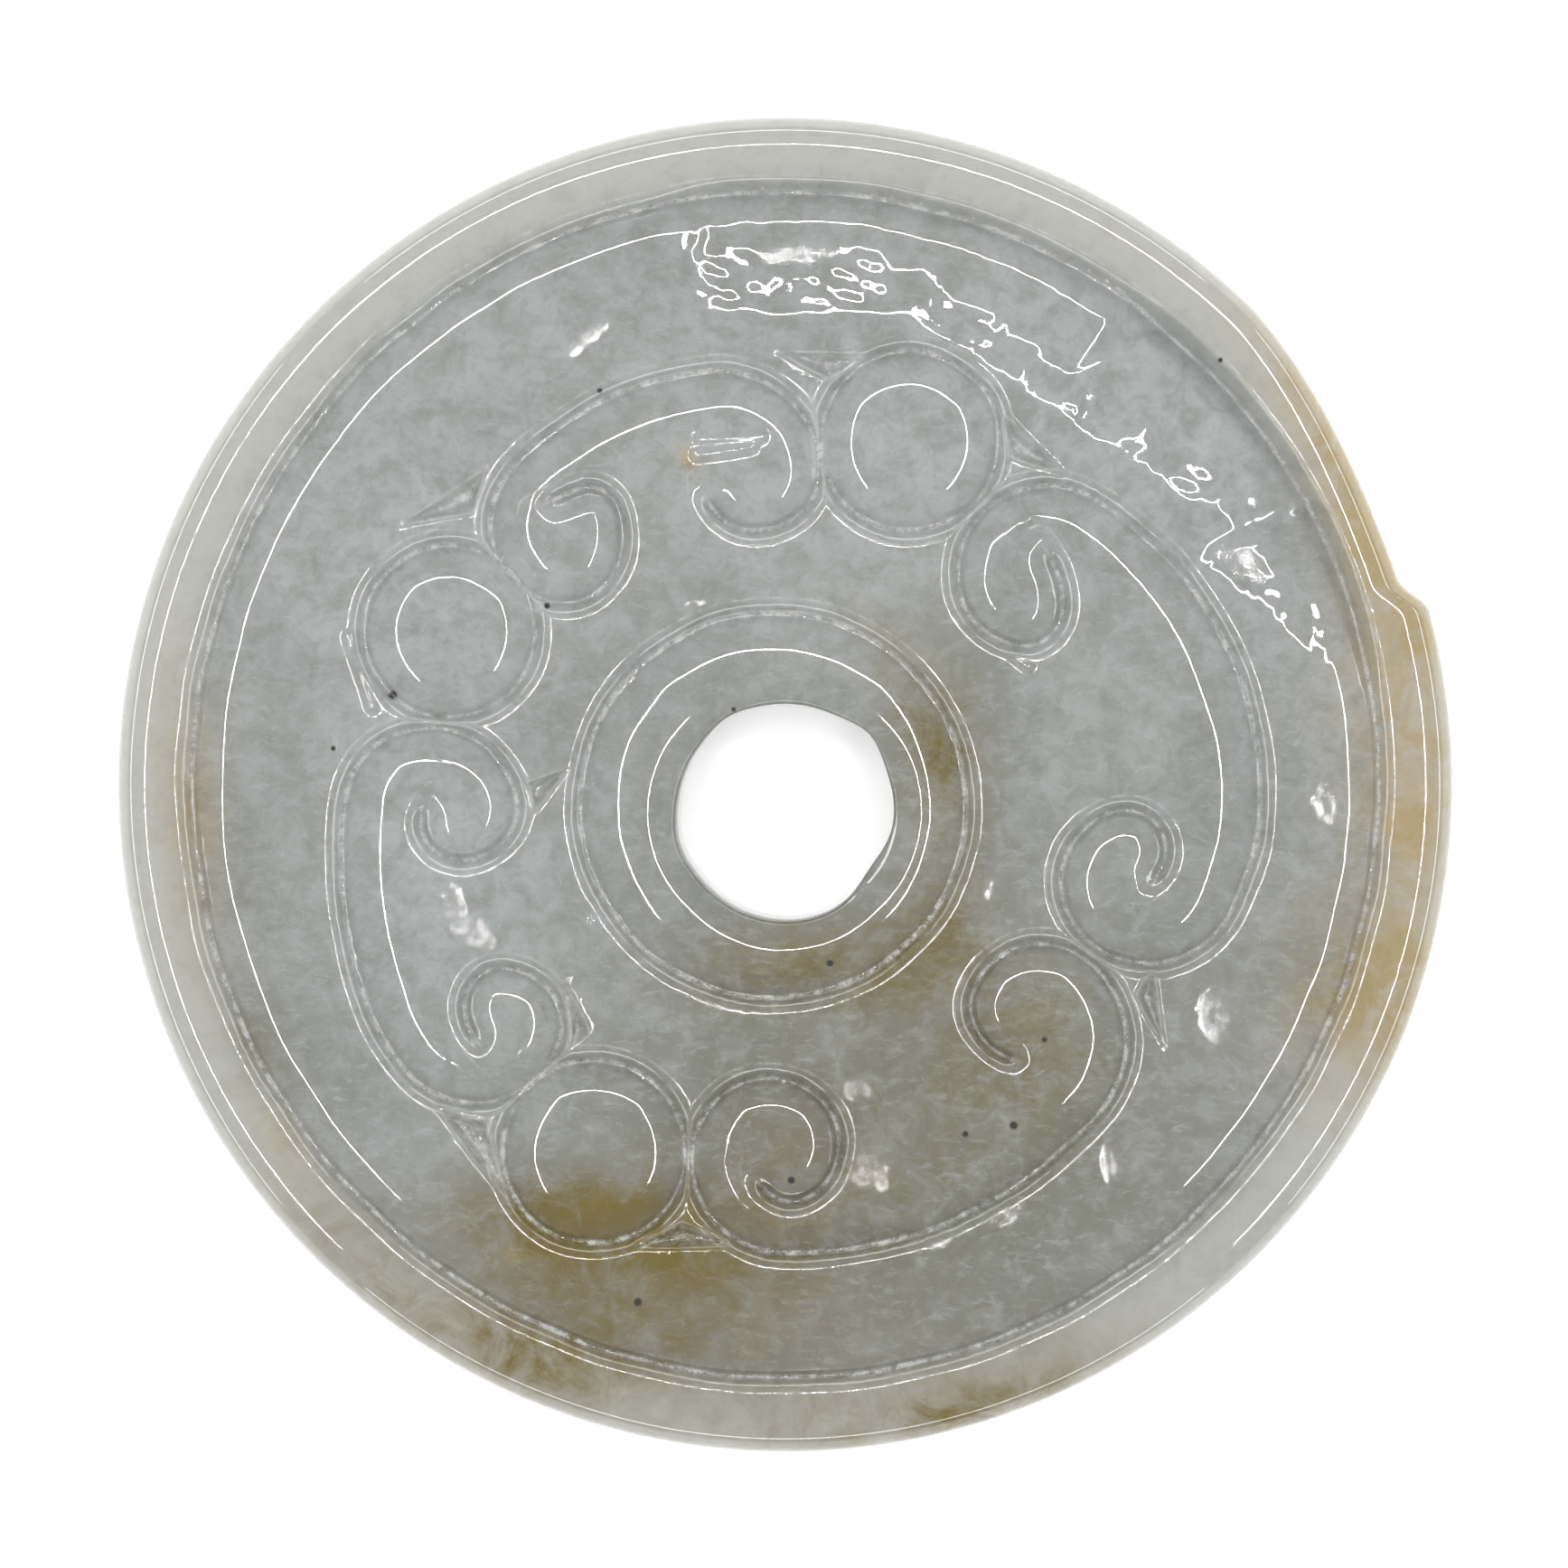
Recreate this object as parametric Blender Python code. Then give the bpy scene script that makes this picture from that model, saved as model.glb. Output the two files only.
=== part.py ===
"""A carved jade bi disc, lying flat with its carved face up.

One stone: a raised rim, three domed bosses and four C scrolls with curled ends round a collared hole.
Metres, +Z up, with the origin under the middle of the disc. +Y is the top of the carved face.
"""

import math

import bmesh
import bpy
import numpy as np

DISC_DIAMETER = 0.0540
THICKNESS = 0.0060
HOLE_DIAMETER = 0.0088
HOLE_BELOW_CENTRE = 0.00115
HOLE_LEAN = 0.00018
HOLE_CHAMFER = 0.0003

EDGE_ROUND_WIDTH = 0.0012
EDGE_ROUND_HEIGHT = 0.0014
UNDER_ROUND_WIDTH = 0.0011
UNDER_ROUND_HEIGHT = 0.0012

GROOVE_DEPTH = 0.00052
BACK_SLOPE = 0.0019
CURL_SLOPE = 0.00115
BOSS_SLOPE = 0.00155
GROOVE_WALL = 0.00070
GROOVE_FADE = 0.0012
RIM_GROOVE_DEPTH = 0.00050
RIM_GROOVE_SLOPE = 0.00135
COLLAR_GROOVE_DEPTH = 0.00050
LIP_WIDTH = 0.0014
LIP_DROP = 0.00055
PIT_DEPTH = 0.00040
PIT_WALL = 0.00045
FALL_BEND = 0.0003
FALL_FLOOR = 0.00025
FALL_REST = 0.00004
OPEN_FLOOR = 0.0010
CUT_CURVE = 2.0

TRIANGLES = 9400
ROUND_STEPS = 360
TOP_RINGS = 104
EDGE_STEPS = 7
UNDER_RINGS = 4
ARC_STEPS = 12
CURL_ARCS = 4

# The carving below is laid out in shares of the disc's radius.
RADIUS = DISC_DIAMETER / 2
RIM_GROOVE = 0.887
COLLAR_CENTRE = (-0.018, -0.031)
COLLAR_GROOVE = 0.288
BOSSES = {
    "top": ((0.186, 0.514), 0.134),
    "left": ((-0.502, 0.229), 0.129),
    "bottom": ((-0.286, -0.549), 0.137),
}

# Each scroll is cut in one stroke that always turns right: its start, its heading in degrees, and
# then the arcs of its one end, its back and its other end, each as a radius and a sweep in degrees.
SCROLLS = {
    "upper": ((-0.377, 0.410), 26, (
        (3.0, 1.4), (0.045, 98), (0.146, 31.6), (0.084, 85), (0.116, 67), (0.128, 57),
        (0.463, 41), (0.150, 90), (0.094, 94), (0.085, 82),
    )),
    "right": ((0.378, 0.364), -45, (
        (0.130, 48), (0.062, 101), (0.108, 74), (0.134, 124), (0.529, 56),
        (0.370, 32), (0.136, 116), (0.111, 102), (0.070, 37), (0.061, 150),
    )),
    "lower": ((0.368, -0.413), 180, (
        (0.097, 59), (0.065, 49), (0.108, 106), (0.154, 49), (0.157, 47),
        (0.602, 52), (0.136, 123), (0.112, 95), (0.093, 107), (0.055, 120),
    )),
    "left": ((-0.443, -0.404), 141, (
        (0.105, 38), (0.059, 101), (0.086, 110), (0.131, 114), (0.250, 26),
        (0.660, 29), (0.124, 87), (0.143, 61), (0.081, 142), (0.050, 120),
    )),
}

# Straight knife cuts: two in the upper scroll's end, one by the left boss and one that ends a curl.
NICKS = {
    "upper nick": ((-0.126, 0.517), (-0.035, 0.520)),
    "lower nick": ((-0.132, 0.494), (-0.049, 0.506)),
    "left of the left boss": ((-0.652, 0.222), (-0.618, 0.115)),
    "tip of the right scroll": ((0.309, 0.217), (0.363, 0.177)),
}
NICK_DEPTH = 0.00012
NICK_WIDTH = 0.00035

# Three-cornered cuts where two shapes meet: the three corners of each.
PITS = {
    "over the top boss": ((0.003, 0.644), (0.136, 0.640), (0.065, 0.610)),
    "right of the top boss": ((0.325, 0.551), (0.408, 0.468), (0.338, 0.493)),
    "over the left boss": ((-0.556, 0.394), (-0.453, 0.466), (-0.470, 0.410)),
    "between the upper scroll and the left boss": ((-0.388, 0.262), (-0.352, 0.290), (-0.376, 0.235)),
    "between the right and lower scrolls": ((0.547, -0.279), (0.560, -0.370), (0.528, -0.315)),
    "tip of the left scroll": ((-0.383, 0.000), (-0.336, 0.016), (-0.374, -0.034)),
    "right of the left scroll": ((-0.325, -0.313), (-0.298, -0.367), (-0.317, -0.383)),
    "beside the bottom boss": ((-0.512, -0.489), (-0.449, -0.505), (-0.412, -0.622)),
    "under the bottom boss": ((-0.218, -0.687), (-0.085, -0.687), (-0.154, -0.656)),
}

# The rim is worn back from NOTCH_START to a step at NOTCH_END, by NOTCH_DEPTH at its deepest.
NOTCH_DEPTH = 0.00086
NOTCH_START = 46.0
NOTCH_DEEPEST = 21.0
NOTCH_STEP = 18.6
NOTCH_END = 15.0
NOTCH_CURVE = 0.7

# The drilled hole isn't true: how far its edge stands out, as a share, at an angle and over a width.
HOLE_BULGES = ((43, 0.055, 14), (-34, -0.075, 20), (121, 0.025, 14), (-163, 0.03, 16))

# The field is ground away towards the rim in three flat facets: the way each faces in degrees, where
# it starts, its slope, and the angles between which it lies. At the top they end on a floor FALL_FLOOR
# deep, which opens by OPEN_FLOOR from the first to the second of the angles in FLOOR_OPENS.
FACETS = {
    "top": (90.0, 0.705, 0.11, (50.0, 180.0)),
    "upper right": (57.3, 0.692, 0.155, (20.0, 180.0)),
    "right": (50.7, 0.655, 0.155, (-90.0, 30.0)),
}
FACET_EDGE = 3.0
FACETS_END = (95.0, 103.0)
FLOOR_OPENS = (56.0, 46.0)


def remove_everything():
    for old in list(bpy.data.objects):
        bpy.data.objects.remove(old, do_unlink=True)


def smooth(share):
    """0 to 1, with no slope at either end."""
    share = np.clip(share, 0, 1)
    return share * share * (3 - 2 * share)


def stroke(start, heading, arcs):
    """The points of a chain of arcs that all turn right, in metres."""
    x, y = start
    turn = math.radians(heading)
    points = [(x, y)]
    for radius, sweep in arcs:
        centre_x = x + radius * math.sin(turn)
        centre_y = y - radius * math.cos(turn)
        for step in range(1, ARC_STEPS + 1):
            now = turn - math.radians(sweep) * step / ARC_STEPS
            points.append((centre_x - radius * math.sin(now), centre_y + radius * math.cos(now)))
        x, y = points[-1]
        turn -= math.radians(sweep)
    return RADIUS * np.array(points)


def beside(x, y, line):
    """The distance to a line of points, which side it is on (1 to the right) and how far along it."""
    nearest = np.full(x.shape, np.inf)
    side = np.ones(x.shape)
    along = np.zeros(x.shape)
    gone = 0.0
    for (ax, ay), (bx, by) in zip(line[:-1], line[1:]):
        length = math.hypot(bx - ax, by - ay)
        ux, uy = (bx - ax) / length, (by - ay) / length
        here = np.clip((x - ax) * ux + (y - ay) * uy, 0, length)
        away = np.hypot(x - ax - ux * here, y - ay - uy * here)
        closer = away < nearest
        right = (x - ax) * uy - (y - ay) * ux
        nearest = np.where(closer, away, nearest)
        side = np.where(closer, np.where(right >= 0, 1.0, -1.0), side)
        along = np.where(closer, gone + here, along)
        gone += length
    return nearest, side, along, gone


def scroll_lines(x, y):
    """Where each point lies beside the first curl, and then beside the rest, of each scroll."""
    lines = []
    for start, heading, arcs in SCROLLS.values():
        line = stroke(start, heading, arcs)
        turned = CURL_ARCS * ARC_STEPS
        distance, side, along, curl_length = beside(x, y, line[:turned + 1])
        rest = beside(x, y, line[turned:])
        length = curl_length + rest[3]
        lines.append((distance, side, along, length))
        lines.append((rest[0], rest[1], curl_length + rest[2], length))
    return lines


def cut(distance, side, depth, slope, wall):
    """The depth of a groove: a long slope on its inner side and a short wall on its outer side."""
    width = np.where(side > 0, slope, wall)
    return depth * np.clip(1 - distance / width, 0, 1) ** CUT_CURVE


def ring_cut(x, y, centre, share, depth, slope):
    """A groove right round a circle, which slopes inwards."""
    out = np.hypot(x - RADIUS * centre[0], y - RADIUS * centre[1]) - RADIUS * share
    return cut(np.abs(out), -out, depth, slope, GROOVE_WALL)


def pit_cut(x, y, corners):
    """A three-cornered cut, deepest in its middle."""
    inside = np.full(x.shape, np.inf)
    middle = np.mean(corners, axis=0)
    for (ax, ay), (bx, by) in zip(corners, corners[1:] + corners[:1]):
        length = math.hypot(bx - ax, by - ay)
        across = ((x / RADIUS - ax) * (by - ay) - (y / RADIUS - ay) * (bx - ax)) / length
        facing = (middle[0] - ax) * (by - ay) - (middle[1] - ay) * (bx - ax)
        inside = np.minimum(inside, across * math.copysign(RADIUS, facing))
    half_wall = PIT_WALL / 2
    return PIT_DEPTH * smooth((inside + half_wall) / PIT_WALL)


def carved(x, y):
    """How far the carving lies below the top of the disc."""
    depth = ring_cut(x, y, (0, 0), RIM_GROOVE, RIM_GROOVE_DEPTH, RIM_GROOVE_SLOPE)
    collar = ring_cut(x, y, COLLAR_CENTRE, COLLAR_GROOVE, COLLAR_GROOVE_DEPTH, BACK_SLOPE)
    depth = np.maximum(depth, collar)
    for centre, share in BOSSES.values():
        depth = np.maximum(depth, ring_cut(x, y, centre, share, GROOVE_DEPTH, BOSS_SLOPE))
    for distance, side, along, length in scroll_lines(x, y):
        fade = smooth(along / GROOVE_FADE) * smooth((length - along) / GROOVE_FADE)
        back = np.sin(math.pi * along / length) ** 2
        slope = CURL_SLOPE + (BACK_SLOPE - CURL_SLOPE) * back
        depth = np.maximum(depth, cut(distance, side, GROOVE_DEPTH * fade, slope, GROOVE_WALL))
    for ends in NICKS.values():
        distance, _, _, _ = beside(x, y, RADIUS * np.array(ends))
        depth = np.maximum(depth, NICK_DEPTH * np.clip(1 - distance / NICK_WIDTH, 0, 1))
    for corners in PITS.values():
        depth = np.maximum(depth, pit_cut(x, y, corners))
    return depth


def field_fall(x, y):
    """How far the facets at the upper right lie below the field."""
    radius = np.hypot(x, y) / RADIUS
    angle = np.degrees(np.arctan2(y, x))
    fall = np.zeros(x.shape)
    for facing, start, slope, (first, last) in FACETS.values():
        turn = math.radians(facing)
        beyond = x * math.cos(turn) + y * math.sin(turn) - RADIUS * start
        ground = slope * (beyond + np.hypot(beyond, FALL_BEND)) / 2
        between = smooth((angle - first) / FACET_EDGE) * smooth((last - angle) / FACET_EDGE)
        fall = np.maximum(fall, ground * between)
    closed, opened = FLOOR_OPENS
    floor = FALL_FLOOR + OPEN_FLOOR * smooth((closed - angle) / (closed - opened))
    levelled = (fall + floor - np.hypot(fall - floor, FALL_REST)) / 2
    still, last = FACETS_END
    at_rim = smooth(1 - (radius - RIM_GROOVE) * RADIUS / GROOVE_WALL)
    return np.maximum(levelled, 0) * smooth((last - angle) / (last - still)) * at_rim


def lip(x, y):
    """The rounded fall from the collar's crest to the edge of the hole."""
    reach = HOLE_DIAMETER / 2 + LIP_WIDTH
    radius = np.hypot(x, y + HOLE_BELOW_CENTRE)
    return LIP_DROP * np.clip((reach - radius) / LIP_WIDTH, 0, None) ** CUT_CURVE


def top(x, y):
    return THICKNESS - carved(x, y) - field_fall(x, y) - lip(x, y)


def disc_radius(angle):
    """The radius of the outline at angles in degrees, worn back at the notch."""
    worn = smooth((NOTCH_START - angle) / (NOTCH_START - NOTCH_DEEPEST)) ** NOTCH_CURVE
    step = smooth((angle - NOTCH_END) / (NOTCH_STEP - NOTCH_END))
    return RADIUS - NOTCH_DEPTH * worn * step


def hole_radius(angle):
    """The radius of the hole at angles in degrees."""
    share = np.ones(angle.shape)
    for at, bulge, width in HOLE_BULGES:
        apart = (angle - at + 180) % 360 - 180
        share += bulge * np.exp(-((apart / width) ** 2))
    return HOLE_DIAMETER / 2 * share


def disc_rings():
    """Closed rings of points: over the top from the hole, round the edge, and back underneath."""
    angle = np.degrees(np.linspace(-math.pi, math.pi, ROUND_STEPS, endpoint=False))
    across, up = np.cos(np.radians(angle)), np.sin(np.radians(angle))

    def outer(inset):
        radius = disc_radius(angle) - inset
        return np.stack([radius * across, radius * up], 1)

    def hole(inset, lean):
        radius = hole_radius(angle) - inset
        return np.stack([radius * across + lean, radius * up - HOLE_BELOW_CENTRE + lean], 1)

    def ring(points, height):
        return np.column_stack([points, np.broadcast_to(height, len(points))])

    rings = []
    for share in np.linspace(0, 1, TOP_RINGS):
        points = (1 - share) * hole(0, 0) + share * outer(EDGE_ROUND_WIDTH)
        rings.append(ring(points, top(points[:, 0], points[:, 1])))
    shoulder = rings[-1][:, 2]
    for step in range(1, EDGE_STEPS + 1):
        turn = math.pi / 2 * step / EDGE_STEPS
        points = outer(EDGE_ROUND_WIDTH * (1 - math.sin(turn)))
        rings.append(ring(points, shoulder - EDGE_ROUND_HEIGHT * (1 - math.cos(turn))))
    for step in range(EDGE_STEPS + 1):
        turn = math.pi / 2 * step / EDGE_STEPS
        points = outer(UNDER_ROUND_WIDTH * (1 - math.cos(turn)))
        rings.append(ring(points, UNDER_ROUND_HEIGHT * (1 - math.sin(turn))))
    for share in np.linspace(0, 1, UNDER_RINGS + 1)[1:]:
        points = (1 - share) * outer(UNDER_ROUND_WIDTH) + share * hole(-HOLE_CHAMFER, HOLE_LEAN)
        rings.append(ring(points, 0.0))
    rings.append(ring(hole(0, HOLE_LEAN), HOLE_CHAMFER))
    return rings


def jade():
    material = bpy.data.materials.new("jade")
    material.use_nodes = True
    shader = material.node_tree.nodes["Principled BSDF"]
    shader.inputs["Base Color"].default_value = (0.38, 0.40, 0.37, 1)
    shader.inputs["Roughness"].default_value = 0.15
    shader.inputs["Metallic"].default_value = 0.0
    return material


def make_disc():
    mesh = bpy.data.meshes.new("bi_disc")
    rings = disc_rings()
    model = bmesh.new()
    corners = [[model.verts.new(point) for point in ring] for ring in rings]
    for ring, following in zip(corners, corners[1:] + corners[:1]):
        for here in range(ROUND_STEPS):
            after = (here + 1) % ROUND_STEPS
            model.faces.new((ring[here], following[here], following[after], ring[after]))
    bmesh.ops.triangulate(model, faces=model.faces)
    model.to_mesh(mesh)
    model.free()
    mesh.shade_smooth()
    mesh.materials.append(jade())
    disc = bpy.data.objects.new("bi_disc", mesh)
    bpy.context.scene.collection.objects.link(disc)
    fewer = disc.modifiers.new("fewer triangles", "DECIMATE")
    fewer.ratio = TRIANGLES / len(mesh.polygons)


remove_everything()
make_disc()
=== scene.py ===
"""A carved and polished jade bi disc, lying on a pale floor and seen from straight above."""

import math

import bpy
import numpy as np
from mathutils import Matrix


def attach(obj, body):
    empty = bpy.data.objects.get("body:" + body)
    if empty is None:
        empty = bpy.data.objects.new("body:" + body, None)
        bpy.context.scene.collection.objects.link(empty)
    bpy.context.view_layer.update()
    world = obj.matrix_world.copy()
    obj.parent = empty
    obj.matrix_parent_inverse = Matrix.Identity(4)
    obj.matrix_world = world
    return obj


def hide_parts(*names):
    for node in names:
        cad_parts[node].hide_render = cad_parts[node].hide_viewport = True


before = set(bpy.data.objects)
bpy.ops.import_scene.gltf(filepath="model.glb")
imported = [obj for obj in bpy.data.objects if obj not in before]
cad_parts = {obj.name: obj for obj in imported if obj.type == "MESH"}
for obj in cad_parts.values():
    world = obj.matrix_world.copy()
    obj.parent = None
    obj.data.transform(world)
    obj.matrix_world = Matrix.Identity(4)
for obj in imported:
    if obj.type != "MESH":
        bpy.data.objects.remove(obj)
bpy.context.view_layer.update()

# The disc's own sizes, in metres: the same values as the solid has.
RADIUS = 0.027
THICKNESS = 0.0060
HOLE_DIAMETER = 0.0088
HOLE_BELOW_CENTRE = 0.00115
HOLE_LEAN = 0.00018
HOLE_CHAMFER = 0.0003
EDGE_ROUND_WIDTH = 0.0012
EDGE_ROUND_HEIGHT = 0.0014
UNDER_ROUND_WIDTH = 0.0011
UNDER_ROUND_HEIGHT = 0.0012
GROOVE_DEPTH = 0.00052
BACK_SLOPE = 0.0019
CURL_SLOPE = 0.00115
BOSS_SLOPE = 0.00155
GROOVE_WALL = 0.00070
GROOVE_FADE = 0.0012
RIM_GROOVE_DEPTH = 0.00050
RIM_GROOVE_SLOPE = 0.00135
COLLAR_GROOVE_DEPTH = 0.00050
LIP_WIDTH = 0.0014
LIP_DROP = 0.00055
PIT_DEPTH = 0.00040
PIT_WALL = 0.00045
FALL_BEND = 0.0003
FALL_FLOOR = 0.00025
FALL_REST = 0.00004
OPEN_FLOOR = 0.0010
CUT_CURVE = 2.0

# How fine the surface is.
TRIANGLES = 190000
ROUND_STEPS = 1120
TOP_RINGS = 172
EDGE_STEPS = 12
UNDER_RINGS = 5
ARC_STEPS = 14
CURL_ARCS = 4

# The hand's unevenness, with the length of its waves: of the lines, of the polished field, of the
# facets and their ripples, and of the groove floors.
WAVES_MIXED = 7
WAVE_SPREAD = (0.7, 1.5)
LINE_WANDER = 0.00007
LINE_WANDER_LENGTH = 0.0035
FIELD_WAVE = 0.000004
FIELD_WAVE_LENGTH = 0.0022
FACET_WANDER = 0.00030
FACET_WANDER_LENGTH = 0.0028
CALM_AT_RIM = 0.08
RIPPLE = 0.000016
RIPPLE_LENGTH = 0.00085
RIPPLE_REACH = 0.00019
RIPPLE_ANGLES = (52, 62)
RIPPLE_CALM_AT_RIM = 0.06
TOOL_MARKS = 0.000035
TOOL_MARK_LENGTH = 0.0006
DENT_UNEVENNESS = 0.75
DENT_WAVE_LENGTH = 0.0006
SCUFF_DEPTH = 0.00004

# How frosted the cuts are: across a groove's floor, in a nick, in a three-cornered cut and in a flaw.
FROST_WIDTH = 0.00040
NICK_FROST = 0.7
PIT_FROST = 0.6
PIT_SCUFF = 0.9
DENT_SCUFF = 0.25

# The carving, in shares of the disc's radius.
RIM_GROOVE = 0.887
COLLAR_CENTRE = (-0.018, -0.031)
COLLAR_GROOVE = 0.288
BOSSES = {
    "top": ((0.186, 0.514), 0.134),
    "left": ((-0.502, 0.229), 0.129),
    "bottom": ((-0.286, -0.549), 0.137),
}
SCROLLS = {
    "upper": ((-0.377, 0.410), 26, (
        (3.0, 1.4), (0.045, 98), (0.146, 31.6), (0.084, 85), (0.116, 67), (0.128, 57),
        (0.463, 41), (0.150, 90), (0.094, 94), (0.085, 82),
    )),
    "right": ((0.378, 0.364), -45, (
        (0.130, 48), (0.062, 101), (0.108, 74), (0.134, 124), (0.529, 56),
        (0.370, 32), (0.136, 116), (0.111, 102), (0.070, 37), (0.061, 150),
    )),
    "lower": ((0.368, -0.413), 180, (
        (0.097, 59), (0.065, 49), (0.108, 106), (0.154, 49), (0.157, 47),
        (0.602, 52), (0.136, 123), (0.112, 95), (0.093, 107), (0.055, 120),
    )),
    "left": ((-0.443, -0.404), 141, (
        (0.105, 38), (0.059, 101), (0.086, 110), (0.131, 114), (0.250, 26),
        (0.660, 29), (0.124, 87), (0.143, 61), (0.081, 142), (0.050, 120),
    )),
}
NICKS = {
    "upper nick": ((-0.126, 0.517), (-0.035, 0.520)),
    "lower nick": ((-0.132, 0.494), (-0.049, 0.506)),
    "left of the left boss": ((-0.652, 0.222), (-0.618, 0.115)),
    "tip of the right scroll": ((0.309, 0.217), (0.363, 0.177)),
}
NICK_DEPTH = 0.00012
NICK_WIDTH = 0.00035
PITS = {
    "over the top boss": ((0.003, 0.644), (0.136, 0.640), (0.065, 0.610)),
    "right of the top boss": ((0.325, 0.551), (0.408, 0.468), (0.338, 0.493)),
    "over the left boss": ((-0.556, 0.394), (-0.453, 0.466), (-0.470, 0.410)),
    "between the upper scroll and the left boss": ((-0.388, 0.262), (-0.352, 0.290), (-0.376, 0.235)),
    "between the right and lower scrolls": ((0.547, -0.279), (0.560, -0.370), (0.528, -0.315)),
    "tip of the left scroll": ((-0.383, 0.000), (-0.336, 0.016), (-0.374, -0.034)),
    "right of the left scroll": ((-0.325, -0.313), (-0.298, -0.367), (-0.317, -0.383)),
    "beside the bottom boss": ((-0.512, -0.489), (-0.449, -0.505), (-0.412, -0.622)),
    "under the bottom boss": ((-0.218, -0.687), (-0.085, -0.687), (-0.154, -0.656)),
}
NOTCH_DEPTH = 0.00086
NOTCH_START = 46.0
NOTCH_DEEPEST = 21.0
NOTCH_STEP = 18.6
NOTCH_END = 15.0
NOTCH_CURVE = 0.7
HOLE_BULGES = ((43, 0.055, 14), (-34, -0.075, 20), (121, 0.025, 14), (-163, 0.03, 16))
FACETS = {
    "top": (90.0, 0.705, 0.095, (50.0, 180.0)),
    "upper right": (57.3, 0.692, 0.155, (20.0, 180.0)),
    "right": (50.7, 0.655, 0.155, (-90.0, 30.0)),
}
FACET_EDGE = 3.0
FACETS_END = (95.0, 103.0)
FLOOR_OPENS = (56.0, 46.0)

# Natural colour in the stone: where each patch is, its half sizes across and up, its lean in
# degrees and its strength. Places and sizes are shares of the radius.
OLIVE = (
    ((-0.282, -0.655), (0.150, 0.050), -6, 1.5),
    ((-0.290, -0.750), (0.170, 0.090), 10, 0.60),
    ((-0.080, -0.740), (0.130, 0.090), 0, 0.25),
    ((-0.240, -0.860), (0.170, 0.050), 5, 0.45),
    ((0.240, -0.020), (0.060, 0.200), 0, 0.62),
    ((0.190, 0.110), (0.040, 0.100), 30, 0.45),
    ((0.185, -0.250), (0.080, 0.060), 30, 0.60),
    ((0.010, -0.280), (0.140, 0.045), 5, 0.75),
    ((0.350, -0.370), (0.100, 0.110), 0, 0.60),
    ((0.300, -0.520), (0.200, 0.120), 25, 0.30),
    ((-0.788, -0.394), (0.030, 0.060), 20, 0.50),
    ((-0.880, -0.110), (0.045, 0.170), 6, 0.10),
    ((-0.020, -0.560), (0.150, 0.120), 0, 0.22),
    ((0.290, -0.930), (0.200, 0.055), 16, 0.80),
    ((0.890, -0.340), (0.080, 0.120), 0, 0.15),
    ((0.000, -0.940), (0.160, 0.050), 0, 0.38),
    ((-0.640, -0.700), (0.050, 0.140), 48, 0.50),
    ((-0.400, -0.850), (0.130, 0.050), -24, 0.50),
    ((0.790, -0.260), (0.050, 0.080), 0, 0.30),
)
OCHRE = (
    ((0.845, 0.500), (0.045, 0.210), 31, 1.20),
    ((0.872, 0.370), (0.050, 0.120), 24, 0.60),
    ((0.925, 0.100), (0.070, 0.260), 4, 0.95),
    ((0.919, -0.077), (0.035, 0.035), 0, 0.80),
    ((0.890, -0.320), (0.090, 0.110), -20, 1.20),
    ((-0.885, -0.050), (0.035, 0.160), 4, 0.65),
    ((-0.400, -0.702), (0.016, 0.011), 0, 1.20),
    ((-0.745, -0.530), (0.025, 0.060), 35, 0.50),
    ((-0.144, 0.484), (0.012, 0.016), 20, 1.20),
    ((0.150, 0.220), (0.060, 0.020), -40, 0.30),
)
CLOUD = (
    ((-0.600, 0.250), (0.200, 0.280), 10, 0.62),
    ((-0.600, -0.600), (0.160, 0.140), 40, 0.50),
    ((-0.498, -0.190), (0.140, 0.160), 0, 0.85),
    ((0.000, 0.560), (0.750, 0.300), -10, 0.58),
    ((0.700, -0.450), (0.120, 0.200), -30, 0.30),
    ((0.600, 0.560), (0.150, 0.330), 40, 0.55),
    ((0.186, 0.514), (0.120, 0.120), 0, 0.35),
    ((-0.502, 0.229), (0.110, 0.110), 0, 0.15),
)
SHADE = (
    ((0.300, -0.560), (0.420, 0.260), 20, 0.55),
    ((-0.050, -0.640), (0.500, 0.280), 0, 0.45),
    ((0.060, -0.330), (0.240, 0.120), 0, 0.30),
)
BROWN = (
    ((-0.160, -0.740), (0.240, 0.130), 5, 0.62),
    ((0.040, -0.830), (0.300, 0.110), 8, 0.22),
    ((0.020, -0.560), (0.180, 0.130), 0, 0.45),
    ((0.150, -0.300), (0.130, 0.070), 25, 0.45),
    ((-0.010, -0.220), (0.130, 0.030), 4, 0.45),
    ((0.280, -0.900), (0.240, 0.080), 16, 0.35),
    ((-0.420, -0.800), (0.200, 0.080), -28, 0.35),
    ((0.560, -0.560), (0.240, 0.120), 45, 0.15),
)
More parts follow.
